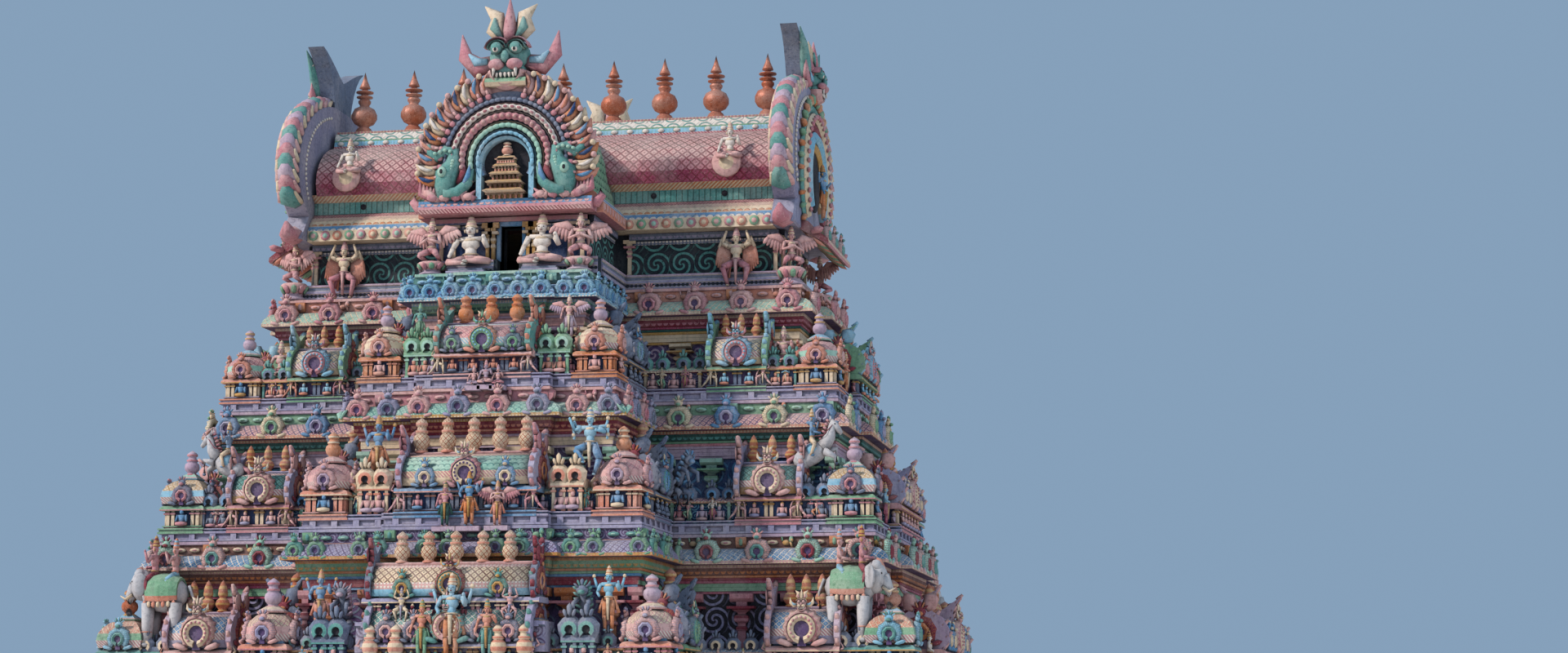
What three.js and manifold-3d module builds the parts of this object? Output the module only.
// A South Indian temple gateway tower: a granite base with a passage through it, three receding
// brick storeys ringed with miniature shrines, a neck, and a barrel vaulted roof with two cross
// vaults, gable plates and a row of pot finials.
// Millimetres, +Z up. The origin is at ground level in the middle of the passage. X runs along
// the ridge, and people walk through the gateway along Y; the front is at -Y.
import * as THREE from 'three';
import { mergeVertices } from 'three/addons/utils/BufferGeometryUtils.js';
import Module from 'manifold-3d';

const wasm = await Module();
wasm.setup();

// Driving dimensions
const GAP = 0.3; // left between neighbouring solids
const WALL = 900; // brick wall of a storey
const STOREYS = 3;
const TERRACE = [10800, 14750, 18380, 21650]; // top of the base, then of each storey's cornice
const CORNICE_HEIGHT = 1360; // entablature of each storey
const FLOOR = 400; // slab under the neck
const FLOOR_BEARING = 250; // how far the slab reaches over the walls below

// Kapota edges: the farthest reach of the base's cornice, then of each storey's. w and d are the
// main body's half width and half depth, bw and bd the front and back bays', cw and cd the middle
// of those bays, sw and sd the half width and reach of the bays on the two ends.
const KAPOTA = [
  { w: 11250, d: 6400, bw: 5850, bd: 9900, cw: 2900, cd: 10250, sw: 3200, sd: 11600 },
  { w: 10100, d: 5250, bw: 4800, bd: 8700, cw: 2500, cd: 9050, sw: 2700, sd: 10400 },
  { w: 8950, d: 4100, bw: 3800, bd: 7450, cw: 2150, cd: 7800, sw: 2100, sd: 9250 },
  { w: 7800, d: 2950, bw: 2700, bd: 6300, cw: 1600, cd: 6420, sw: 1500, sd: 8100 },
];
const SHRINE_INSET = 350; // shrines stand this far inside the kapota edge below them
const WALL_INSET = 550; // a wall's face is this far inside the kapota edge above it
const SHRINE_CLEARANCE = 30; // between a shrine and the wall behind it
const SHRINE_BASE = 350; // moulded course that carries a row of shrines

const DOOR = { halfWidth: 300, lintel: 250 }; // the neck's front and back doorways
const PASSAGE = { halfWidth: 2200, height: 7200, corbel: 400, corbelHeight: 600 };
const BASE = { plinthTop: 1900, wallTop: 9000 };

const NECK = { w: 6700, d: 1900, bw: 2100, bd: 4900, wall: 550, top: 23300, baseHeight: 450 };
const VAULT = {
  eaveZ: NECK.top + GAP, springing: 24650, crown: 26300, ridgeZ: 26750, halfLength: 6500, shell: 350,
};
const RIDGE = { halfWidth: 880, height: 140 };
const EAVE_OVERRUN = 150; // of the eaves past the vault, up to the gable plates
const GABLE = {
  thickness: 650, baseZ: NECK.top + GAP, ovalZ: 25350, halfWidth: 3600, rise: 2500, hornZ: 29200,
  reach: 8350, hoodHalf: 1900,
};
const NASI = { thickness: 600, front: 5700, circleZ: 24750, radius: 2500, opening: 680, openingZ: 23650 };
const FINIALS = { count: 9, spacing: 1500, height: 1950, radius: 370 };

const COLOURS = {
  granite: 0x8f8478, pink: 0xd8a39b, teal: 0x7fb0a6, blue: 0x7ba6bd, lilac: 0x8d86a0,
  cream: 0xdcc3a2, rose: 0xc98a92, copper: 0xb0664a, green: 0x86a98f,
};

// Solids and cuts
function solid(geometry) {
  const bare = geometry.index ? geometry.toNonIndexed() : geometry.clone();
  bare.deleteAttribute('normal');
  bare.deleteAttribute('uv');
  const merged = mergeVertices(bare, 1e-2);
  return new wasm.Manifold(new wasm.Mesh({
    numProp: 3,
    vertProperties: merged.attributes.position.array,
    triVerts: new Uint32Array(merged.index.array),
  }));
}

function geometryOf(body) {
  const mesh = body.getMesh();
  return new THREE.BufferGeometry()
    .setAttribute('position', new THREE.BufferAttribute(new Float32Array(mesh.vertProperties), 3))
    .setIndex(new THREE.BufferAttribute(new Uint32Array(mesh.triVerts), 1));
}

const join = (...geometries) => geometryOf(geometries.map(solid).reduce((a, b) => a.add(b)));
const cut = (geometry, ...tools) => geometryOf(tools.reduce((a, t) => a.subtract(solid(t)), solid(geometry)));
const common = (geometry, tool) => geometryOf(solid(geometry).intersect(solid(tool)));
const moved = (geometry, x, y, z, turn = 0) => geometry.clone().rotateZ(turn).translate(x, y, z);

// Plain shapes
function box(x0, x1, y0, y1, z0, z1) {
  return new THREE.BoxGeometry(x1 - x0, y1 - y0, z1 - z0)
    .translate((x0 + x1) / 2, (y0 + y1) / 2, (z0 + z1) / 2);
}

const shapeOf = (points) => new THREE.Shape(points.map(([x, y]) => new THREE.Vector2(x, y)));

function prism(shape, z0, z1) {
  return new THREE.ExtrudeGeometry(shape, { depth: z1 - z0, bevelEnabled: false }).translate(0, 0, z0);
}

// A profile drawn in Y and Z, extruded along X from x0 to x1.
function alongX(shape, x0, x1) {
  return new THREE.ExtrudeGeometry(shape, { depth: x1 - x0, bevelEnabled: false, curveSegments: 5 })
    .applyMatrix4(new THREE.Matrix4().makeBasis(
      new THREE.Vector3(0, 1, 0), new THREE.Vector3(0, 0, 1), new THREE.Vector3(1, 0, 0)))
    .translate(x0, 0, 0);
}

// A profile drawn in X and Z, extruded along Y from y0 to y1.
function alongY(shape, y0, y1, segments = 16) {
  return new THREE.ExtrudeGeometry(shape, { depth: y1 - y0, bevelEnabled: false, curveSegments: segments })
    .rotateX(Math.PI / 2).translate(0, y1, 0);
}

function lathe(profile, sides) {
  const points = profile.map(([r, z]) => new THREE.Vector2(r, z));
  return new THREE.LatheGeometry(points, sides).rotateX(Math.PI / 2);
}

function ball(x, y, z, rx, ry, rz) {
  return new THREE.SphereGeometry(1, 6, 4).rotateX(Math.PI / 2).scale(rx, ry, rz).translate(x, y, z);
}

function rod(from, to, r0, r1) {
  const a = new THREE.Vector3(...from);
  const b = new THREE.Vector3(...to);
  const turn = new THREE.Quaternion().setFromUnitVectors(
    new THREE.Vector3(0, 1, 0), b.clone().sub(a).normalize());
  return new THREE.CylinderGeometry(r1, r0, a.distanceTo(b), 5)
    .applyQuaternion(turn).translate(...a.clone().add(b).multiplyScalar(0.5).toArray());
}

// The stepped ground plan and what is built on it
function grown(plan, by) {
  return Object.fromEntries(Object.entries(plan).map(([key, value]) => [key, value + by]));
}

function quadrant({ w, d, bw, bd, cw, cd, sw, sd }) {
  return [[cw, cd], [cw, bd], [bw, bd], [bw, d], [w, d], [w, sw], [sd, sw]];
}

function outline(plan) {
  const q = quadrant(plan);
  const back = [...q].reverse();
  return shapeOf([
    ...q.map(([x, y]) => [x, -y]),
    ...back,
    ...q.map(([x, y]) => [-x, y]),
    ...back.map(([x, y]) => [-x, -y]),
  ]);
}

// The room inside: a main hall and the two deep bays.
function roomOutline({ w, d, bw, bd }) {
  return shapeOf([
    [bw, -bd], [bw, -d], [w, -d], [w, d], [bw, d], [bw, bd],
    [-bw, bd], [-bw, d], [-w, d], [-w, -d], [-bw, -d], [-bw, -bd],
  ]);
}

// A course whose upper side curves in by roll over the height rise.
function kapota(plan, z, rise, roll) {
  const lens = new THREE.ExtrudeGeometry(outline(grown(plan, -roll)), {
    depth: 60, bevelEnabled: true, bevelThickness: rise, bevelSize: roll, bevelSegments: 2,
  }).translate(0, 0, z);
  const reach = plan.sd + plan.cd;
  return cut(lens, box(-reach, reach, -reach, reach, z - 2 * rise, z));
}

// Front, back, left and right shares of a ring of masonry. The front and back shares hold the
// corners, and seam is where they meet the two ends.
function shares(ring, seam, reach) {
  const tall = 40000;
  return {
    front: common(ring, box(-reach, reach, -reach, -seam, 0, tall)),
    back: common(ring, box(-reach, reach, seam, reach, 0, tall)),
    left: common(ring, box(-reach, 0, -seam + GAP, seam - GAP, 0, tall)),
    right: common(ring, box(0, reach, -seam + GAP, seam - GAP, 0, tall)),
  };
}

// Miniature shrines, each standing on z = 0 and facing -Y
function potFinial(height, radius, sides) {
  const r = radius;
  const h = height;
  return lathe([[0, -20], [0.5 * r, -20], [0.95 * r, 0.33 * h], [0.4 * r, 0.58 * h], [0, h]], sides);
}

// Horseshoe gable: a flat arch, thick in Y, with its feet on z.
function horseshoe(x, y, z, radius, thickness) {
  const shape = new THREE.Shape();
  const start = -0.22 * Math.PI;
  shape.absarc(x, z + 0.8 * radius, radius, start, Math.PI - start, false);
  return alongY(shape, y - thickness, y, 5);
}

function squareShrine(size, scale) {
  const half = size / 2;
  const wallTop = 520 * scale;
  const eave = wallTop + 110 * scale;
  const domeTop = eave + 810 * scale;
  const dome = lathe([
    [0, eave - 20], [0.95 * half, eave - 20], [1.06 * half, eave + 300 * scale],
    [0.42 * half, domeTop], [0, domeTop],
  ], 8).rotateZ(Math.PI / 8);
  return join(
    box(-0.78 * half, 0.78 * half, -0.78 * half, 0.78 * half, -20, wallTop + 20),
    box(-half, half, -half, half, wallTop, eave),
    dome,
    moved(potFinial(760 * scale, 190 * scale, 4), 0, 0, domeTop),
    horseshoe(0, -0.95 * half, eave, 0.5 * half, 0.3 * half),
  );
}

// A barrel roofed shrine, with a row of pots along its ridge.
function oblongShrine(length, depth, scale, pots) {
  const half = length / 2;
  const deep = depth / 2;
  const wallTop = 520 * scale;
  const eave = wallTop + 110 * scale;
  const rise = 900 * scale;
  const roof = new THREE.Shape();
  roof.moveTo(-0.95 * deep, eave - 20);
  roof.lineTo(0.95 * deep, eave - 20);
  roof.bezierCurveTo(1.3 * deep, eave + 0.55 * rise, 0.55 * deep, eave + rise, 0, eave + rise);
  roof.bezierCurveTo(-0.55 * deep, eave + rise, -1.3 * deep, eave + 0.55 * rise, -0.95 * deep, eave - 20);
  const potRow = Array.from({ length: pots }, (_, i) => moved(
    potFinial(880 * scale, 200 * scale, 4), (i - (pots - 1) / 2) * 560 * scale, 0, eave + rise - 40));
  return join(
    box(-0.9 * half, 0.9 * half, -0.8 * deep, deep, -20, wallTop + 20),
    box(-half, half, -deep, deep, wallTop, eave),
    alongX(roof, -0.93 * half, 0.93 * half),
    horseshoe(0, -0.98 * deep, eave, 0.62 * rise, 0.4 * deep),
    ...potRow,
  );
}

// A plain barrel roofed shrine, which faces sideways on a deep bay's side.
function sideShrine(length, depth, scale) {
  const half = length / 2;
  const deep = depth / 2;
  const eave = 630 * scale;
  const roof = shapeOf([
    [-0.95 * deep, eave - 20], [0.95 * deep, eave - 20], [deep, eave + 330 * scale],
    [0.6 * deep, eave + 760 * scale], [-0.6 * deep, eave + 760 * scale], [-deep, eave + 330 * scale],
  ]);
  return join(
    box(-0.9 * half, 0.9 * half, -0.8 * deep, deep, -20, eave - 90 * scale),
    box(-half, half, -deep, deep, eave - 110 * scale, eave),
    alongX(roof, -0.93 * half, 0.93 * half),
  );
}

// A low unit with two small horseshoe gables, which carries a statue.
function pairShrine(width, depth, scale) {
  const half = width / 2;
  const top = 700 * scale;
  return join(
    box(-half, half, -depth / 2, depth / 2, -20, top),
    horseshoe(-half / 2, -0.4 * depth, top - 40, 0.42 * half, 0.3 * depth),
    horseshoe(half / 2, -0.4 * depth, top - 40, 0.42 * half, 0.3 * depth),
  );
}

// Statues, standing on z = 0 and looking along +X
function elephant() {
  return join(
    ball(0, 0, 1180, 720, 400, 470),
    ball(760, 0, 1480, 330, 270, 340),
    rod([980, 0, 1420], [1110, 0, 700], 130, 80),
    ...[-400, 380].map((x) => box(x - 130, x + 130, -300, 300, -20, 1000)),
    rod([250, 0, 1500], [250, 0, 2150], 200, 150),
    ball(250, 0, 2280, 150, 140, 190),
  );
}

function horse() {
  return join(
    ball(0, 0, 1050, 560, 230, 270),
    rod([-330, 0, -20], [-330, 0, 1000], 150, 190),
    rod([380, 0, 1100], [640, 0, 1750], 190, 120),
    ball(760, 0, 1760, 240, 110, 140),
    rod([400, 0, 1000], [760, 0, 700], 110, 70),
    rod([0, 0, 1150], [-40, 0, 1950], 180, 140),
    ball(-40, 0, 2080, 130, 120, 170),
  );
}

function seatedFigure() {
  return join(
    box(-330, 330, -210, 210, -20, 240),
    rod([0, 0, 200], [0, 0, 850], 210, 180),
    ball(0, 0, 980, 140, 140, 180),
    rod([0, 0, 1050], [0, 0, 1330], 110, 40),
  );
}

function finish(name, color) {
  const metal = name === 'copper';
  return new THREE.MeshStandardMaterial({ color, roughness: metal ? 0.45 : 0.85, metalness: metal ? 0.4 : 0 });
}

const materials = Object.fromEntries(
  Object.entries(COLOURS).map(([name, color]) => [name, finish(name, color)]));

const tower = new THREE.Group();

function add(name, geometry, material) {
  const mesh = new THREE.Mesh(geometry, materials[material]);
  mesh.name = name;
  tower.add(mesh);
}

// Granite base
const reach = KAPOTA[0].sd + KAPOTA[0].cd;

function buildBase() {
  const wallPlan = grown(KAPOTA[0], -WALL_INSET);
  const mass = join(
    prism(outline(grown(wallPlan, 550)), 0, 500),
    prism(outline(grown(wallPlan, 350)), 480, 1100),
    prism(outline(grown(wallPlan, 150)), 1080, 1500),
    prism(outline(grown(wallPlan, 380)), 1480, BASE.plinthTop),
    prism(outline(wallPlan), BASE.plinthTop - 20, BASE.wallTop),
    prism(outline(grown(wallPlan, 260)), 5450, 5800),
  );
  const seat = PASSAGE.halfWidth - PASSAGE.corbel;
  const passage = join(
    box(-PASSAGE.halfWidth, PASSAGE.halfWidth, -reach, reach, -100, PASSAGE.height - PASSAGE.corbelHeight),
    box(-seat, seat, -reach, reach, PASSAGE.height - PASSAGE.corbelHeight - 50, PASSAGE.height + 50),
    box(-PASSAGE.halfWidth, PASSAGE.halfWidth, -reach, reach, PASSAGE.height, BASE.wallTop + 100),
  );
  const flanks = cut(mass, passage);
  add('base_left', common(flanks, box(-reach, 0, -reach, reach, -100, BASE.wallTop)), 'granite');
  add('base_right', common(flanks, box(0, reach, -reach, reach, -100, BASE.wallTop)), 'granite');
  const deep = wallPlan.cd;
  add('gateway_ceiling', box(
    -PASSAGE.halfWidth + GAP, PASSAGE.halfWidth - GAP, -deep, deep, PASSAGE.height + GAP, BASE.wallTop), 'granite');
  add('base_cornice', join(
    prism(outline(grown(wallPlan, 60)), BASE.wallTop + GAP, 9500),
    kapota(KAPOTA[0], 9480, 620, 600),
    prism(outline(grown(KAPOTA[0], -SHRINE_INSET)), 9900, TERRACE[0]),
  ), 'granite');
}

// Storeys
function wallRing(plan, room, z0, z1) {
  return cut(prism(outline(plan), z0, z1), prism(roomOutline(room), z0 - 100, z1 + 100));
}

function buildWalls(level) {
  const floor = TERRACE[level - 1];
  const plan = grown(KAPOTA[level], -WALL_INSET);
  const room = grown(plan, -WALL);
  const top = TERRACE[level] - CORNICE_HEIGHT;
  const parts = shares(wallRing(plan, room, floor + GAP, top), room.d, reach);
  for (const [side, geometry] of Object.entries(parts)) add(`storey_${level}_${side}_wall`, geometry, 'lilac');
}

function buildCornice(level) {
  const plan = grown(KAPOTA[level], -WALL_INSET);
  const room = grown(plan, -WALL);
  const bottom = TERRACE[level] - CORNICE_HEIGHT + GAP;
  const top = TERRACE[level];
  const courses = join(
    prism(outline(grown(plan, 90)), bottom, bottom + 260),
    prism(outline(grown(plan, 240)), bottom + 240, bottom + 560),
    kapota(KAPOTA[level], bottom + 540, 420, 380),
    prism(outline(grown(KAPOTA[level], -SHRINE_INSET)), bottom + 800, top),
  );
  const hall = prism(roomOutline(room), bottom - 100, top + 100);
  const cuts = level === STOREYS ? [hall, prism(neckFloorOutline(0), top - FLOOR, top + 100)] : [hall];
  add(`storey_${level}_cornice`, cut(courses, ...cuts), ['pink', 'teal', 'rose'][level - 1]);
}

// The slab that the neck stands on. It rests in a rebate of the top cornice.
function neckFloorOutline(gap) {
  return roomOutline(grown(KAPOTA[STOREYS], -WALL_INSET - WALL + FLOOR_BEARING - gap));
}

function buildNeckFloor() {
  const top = TERRACE[STOREYS];
  add('neck_floor', prism(neckFloorOutline(GAP), top - FLOOR + GAP, top), 'cream');
}

// The first storey's front bay: a second oblong shrine raised on a plinth over the lower one, and a
// low barrel in front of them with its own row of pots.
const RAISED = {
  y: -9300, halfWidth: 2300, plinthZ: 11600, floorZ: 12330, length: 4500, depth: 900, scale: 0.94,
};
const BARREL = { y: -9900, halfWidth: 2000, halfDepth: 300, topZ: 11430, pots: 5, spacing: 720 };

function raisedShrine() {
  const { y, halfWidth, plinthZ, floorZ, length, depth, scale } = RAISED;
  return join(
    box(-halfWidth, halfWidth, y - depth / 2, y + depth / 2, plinthZ, floorZ),
    moved(oblongShrine(length, depth, scale, BARREL.pots), 0, y, floorZ),
  );
}

function lowBarrel() {
  const arch = new THREE.Shape();
  const foot = TERRACE[0] + GAP;
  arch.moveTo(BARREL.y + BARREL.halfDepth, foot);
  arch.absellipse(BARREL.y, foot, BARREL.halfDepth, BARREL.topZ - foot, 0, Math.PI, false);
  const pots = Array.from({ length: BARREL.pots }, (_, i) => moved(
    potFinial(900, 210, 4), (i - (BARREL.pots - 1) / 2) * BARREL.spacing, BARREL.y, BARREL.topZ - 40));
  return join(alongX(arch, -BARREL.halfWidth, BARREL.halfWidth), ...pots);
}

// Where a storey's shrines stand, from its hara line: the outer edge of their moulded base.
function shrineRows(level) {
  const edge = grown(KAPOTA[level - 1], -SHRINE_INSET);
  const wall = grown(KAPOTA[level], -WALL_INSET);
  const scale = [1.08, 1, 0.92][level - 1];
  const z = TERRACE[level - 1] + SHRINE_BASE;
  const size = Math.min(1260 * scale, edge.d - wall.d - 2 * SHRINE_CLEARANCE);
  const corner = { x: edge.w - size / 2, y: edge.d - size / 2 };
  const bay = { x: edge.bw - size / 2, y: edge.bd - size / 2 };
  const depth = edge.cd - wall.cd - SHRINE_CLEARANCE;
  const middle = { x: 0, y: edge.cd - depth / 2 };
  const wingLength = 1750 * scale;
  const wingX = (edge.bw + edge.w) / 2 - 150;
  const wingDepth = edge.d - wall.d - 2 * SHRINE_CLEARANCE;
  const pairX = (wingX + wingLength / 2 + corner.x - size / 2) / 2;
  const statue = [elephant, horse, seatedFigure][level - 1]();
  const unit = squareShrine(size, scale);
  const wing = oblongShrine(wingLength, wingDepth, scale, 3);
  const pairDepth = 0.8 * wingDepth;
  const pair = pairShrine(1000 * scale, pairDepth, scale);
  const statueY = -(edge.d - wingDepth / 2) - 150;
  const sideDepth = edge.bw - wall.bw - 2 * SHRINE_CLEARANCE;
  const sideRun = edge.bd - size - edge.d;
  const side = sideShrine(sideRun - 400, sideDepth, scale);
  const standing = (x) => moved(statue, x, statueY, z + 700 * scale, x < 0 ? Math.PI : 0);
  const front = [
    ...[-1, 1].flatMap((s) => [
      moved(unit, s * corner.x, -corner.y, z),
      moved(unit, s * bay.x, -bay.y, z),
      moved(side, s * (edge.bw - sideDepth / 2), -edge.d - sideRun / 2, z, s * Math.PI / 2),
      moved(wing, s * wingX, -(edge.d - wingDepth / 2), z),
      moved(pair, s * pairX, -(edge.d - wingDepth / 2), z),
      standing(s * pairX),
    ]),
    moved(oblongShrine(2 * wall.cw + 500, depth, scale, level === 1 ? 0 : 5), middle.x, -middle.y, z),
    ...(level === 1 ? [raisedShrine(), lowBarrel()] : []),
  ];
  const endDepth = edge.sd - wall.sd - SHRINE_CLEARANCE;
  const end = moved(
    oblongShrine(2 * edge.sw - 500, endDepth, scale, 3),
    edge.sd - endDepth / 2, 0, z, Math.PI / 2);
  return { edge, wall, front, end };
}

function buildShrines(level) {
  const { edge, wall, front, end } = shrineRows(level);
  const z0 = TERRACE[level - 1] + GAP;
  const course = cut(
    prism(outline(edge), z0, z0 + SHRINE_BASE),
    prism(outline(grown(wall, GAP)), z0 - 100, z0 + 2 * SHRINE_BASE),
  );
  const parts = shares(course, wall.d - WALL, reach);
  const turned = (geometry) => geometry.clone().rotateZ(Math.PI);
  const material = ['cream', 'pink', 'green'][level - 1];
  add(`storey_${level}_front_shrines`, join(parts.front, ...front), material);
  add(`storey_${level}_back_shrines`, join(parts.back, ...front.map(turned)), material);
  add(`storey_${level}_left_shrines`, join(parts.left, turned(end)), material);
  add(`storey_${level}_right_shrines`, join(parts.right, end), material);
}

// Neck under the roof
function buildNeck() {
  const floor = TERRACE[STOREYS];
  const plan = { w: NECK.w, d: NECK.d, bw: NECK.bw, bd: NECK.bd };
  const ring = join(
    prism(roomOutline(grown(plan, 350)), floor + GAP, floor + NECK.baseHeight),
    prism(roomOutline(plan), floor + GAP, NECK.top),
  );
  const hollow = prism(roomOutline(grown(plan, -NECK.wall)), floor - 100, NECK.top + 100);
  const door = box(
    -DOOR.halfWidth, DOOR.halfWidth, -reach, reach, floor - 50, NECK.top - DOOR.lintel);
  const parts = shares(cut(ring, hollow, door), NECK.d - NECK.wall, reach);
  for (const [side, geometry] of Object.entries(parts)) add(`neck_${side}_wall`, geometry, 'teal');
}

// Roof
function vaultOutline(inset) {
  const foot = 2350 - inset;
  const shoulder = 1100 - inset;
  const crown = VAULT.crown - inset;
  const ridge = VAULT.ridgeZ - inset;
  const shape = new THREE.Shape();
  shape.moveTo(-foot, VAULT.springing);
  shape.bezierCurveTo(-2750 + inset, 25300, -2000 + inset, 26100 - inset, -shoulder, crown);
  shape.lineTo(-950 + inset, ridge);
  shape.lineTo(950 - inset, ridge);
  shape.lineTo(shoulder, crown);
  shape.bezierCurveTo(2000 - inset, 26100 - inset, 2750 - inset, 25300, foot, VAULT.springing);
  return shape;
}

function eavesOutline() {
  return shapeOf([
    [-2600, 23300], [2600, 23300], [2600, 23600], [2250, 24050], [2100, 24150], [2100, 24500],
    [2350, 24680], [-2350, 24680], [-2100, 24500], [-2100, 24150], [-2250, 24050], [-2600, 23600],
  ]);
}

const crossVaultInner = () => {
  const shape = new THREE.Shape();
  shape.moveTo(-1500, VAULT.eaveZ - 50);
  shape.lineTo(1500, VAULT.eaveZ - 50);
  shape.lineTo(1500, 24700);
  shape.absarc(0, 24700, 1500, 0, Math.PI, false);
  return shape;
};

const crossVaultOuter = (by = 0) => {
  const shape = new THREE.Shape();
  shape.moveTo(-2550 - by, VAULT.eaveZ - by);
  shape.lineTo(2550 + by, VAULT.eaveZ - by);
  shape.lineTo(2550 + by, 23600 + by);
  shape.absarc(0, 24700, 1960 + by, -0.26, Math.PI + 0.26, false);
  shape.lineTo(-2550 - by, 23600 + by);
  return shape;
};

function buildMainVault() {
  const half = VAULT.halfLength;
  const hallHalf = NECK.d - NECK.wall;
  const shell = cut(
    join(
      alongX(eavesOutline(), -half - EAVE_OVERRUN, half + EAVE_OVERRUN),
      alongX(vaultOutline(0), -half, half),
    ),
    alongX(vaultOutline(VAULT.shell), -half + 300, half - 300),
    box(-half + 300, half - 300, -hallHalf, hallHalf, VAULT.eaveZ - 50, 24700),
    alongY(crossVaultOuter(2 * GAP), -reach, -hallHalf),
    alongY(crossVaultOuter(2 * GAP), hallHalf, reach),
    alongY(crossVaultInner(), -hallHalf - 100, hallHalf + 100),
  );
  add('main_vault', shell, 'rose');
}

// A cross vault with its big horseshoe gable, the small shrine in the gable's opening and the
// crest head above.
function crossVault() {
  const y = -NASI.front;
  const back = y + NASI.thickness;
  const arch = new THREE.Shape();
  arch.absarc(0, NASI.circleZ, NASI.radius, -0.17 * Math.PI, 1.17 * Math.PI, false);
  arch.lineTo(-2350, VAULT.eaveZ + 60);
  arch.lineTo(2350, VAULT.eaveZ + 60);
  const opening = new THREE.Shape();
  opening.moveTo(-NASI.opening, NASI.openingZ);
  opening.lineTo(NASI.opening, NASI.openingZ);
  opening.lineTo(NASI.opening, NASI.openingZ + 950);
  opening.absarc(0, NASI.openingZ + 950, NASI.opening, 0, Math.PI, false);
  const crest = shapeOf([
    [-560, 26700], [560, 26700], [620, 27350], [1150, 27700], [1300, 28400], [900, 28000],
    [560, 28150], [750, 29000], [300, 28700], [0, 29200], [-300, 28700], [-750, 29000],
    [-560, 28150], [-900, 28000], [-1300, 28400], [-1150, 27700], [-620, 27350],
  ]);
  const cover = cut(
    join(
      alongY(crossVaultOuter(), back - 20, -NECK.d + NECK.wall - GAP),
      alongY(arch, y, back),
      alongY(crest, y + 120, back - 60),
      ball(0, y + 250, 27450, 560, 420, 620),
    ),
    alongY(crossVaultInner(), back, 0),
    alongY(opening, y - 100, back + 100),
  );
  const smallShrine = [
    [620, 23550, 24050], [500, 24030, 24500], [380, 24480, 24900], [240, 24880, 25250],
  ].map(([half, z0, z1]) => box(-half, half, y - 60, back - 80, z0, z1));
  return join(cover, ...smallShrine);
}

function buildCrossVaults() {
  const front = crossVault();
  add('front_cross_vault', front, 'blue');
  add('back_cross_vault', front.clone().rotateZ(Math.PI), 'blue');
}

// An end gable: an oval plate with a two lobed horn top, a raised round face on the outside, a
// head below the horns, and a sloping hood at its foot.
function gable() {
  const { thickness, baseZ, ovalZ, halfWidth, rise, hornZ, reach: hoodReach } = GABLE;
  const plateX = VAULT.halfLength + EAVE_OVERRUN + GAP;
  const faceX = plateX + thickness;
  const plate = new THREE.Shape();
  plate.moveTo(-0.88 * halfWidth, baseZ);
  plate.lineTo(0.88 * halfWidth, baseZ);
  plate.lineTo(0.7 * halfWidth, baseZ + 700);
  plate.absellipse(0, ovalZ, halfWidth, rise, -0.13 * Math.PI, 0.38 * Math.PI, false);
  plate.lineTo(850, ovalZ + rise + 150);
  plate.quadraticCurveTo(900, hornZ - 500, 1700, hornZ);
  plate.quadraticCurveTo(700, hornZ - 150, 0, hornZ - 750);
  plate.quadraticCurveTo(-700, hornZ - 150, -1700, hornZ);
  plate.quadraticCurveTo(-900, hornZ - 500, -850, ovalZ + rise + 150);
  plate.absellipse(0, ovalZ, halfWidth, rise, 0.62 * Math.PI, 1.13 * Math.PI, false);
  plate.lineTo(-0.7 * halfWidth, baseZ + 700);
  const face = new THREE.Shape();
  face.absarc(0, ovalZ - 350, 2150, -0.25 * Math.PI, 1.25 * Math.PI, false);
  const hood = shapeOf([
    [faceX - 50, baseZ], [hoodReach, baseZ - 650], [hoodReach, baseZ - 450], [faceX + 200, baseZ + 250],
    [faceX - 50, baseZ + 300],
  ]);
  return join(
    alongX(plate, plateX, faceX),
    alongX(face, faceX - 20, faceX + 250),
    alongY(hood, -GABLE.hoodHalf, GABLE.hoodHalf),
    ball(faceX - 60, 0, 28050, 420, 520, 560),
  );
}

function buildGables() {
  const right = gable();
  add('right_gable', right, 'teal');
  add('left_gable', right.clone().rotateZ(Math.PI), 'teal');
}

function buildRidge() {
  const crown = VAULT.ridgeZ + GAP;
  const half = VAULT.halfLength;
  const row = Array.from({ length: FINIALS.count }, (_, i) => moved(
    potFinial(FINIALS.height, FINIALS.radius, 8),
    (i - (FINIALS.count - 1) / 2) * FINIALS.spacing, 0, crown + RIDGE.height - 20));
  const strip = box(-half, half, -RIDGE.halfWidth, RIDGE.halfWidth, crown, crown + RIDGE.height);
  add('ridge_finials', join(strip, ...row), 'copper');
}

buildBase();
for (let level = 1; level <= STOREYS; level++) {
  buildWalls(level);
  buildCornice(level);
  buildShrines(level);
}
buildNeckFloor();
buildNeck();
buildMainVault();
buildCrossVaults();
buildGables();
buildRidge();

export default tower;
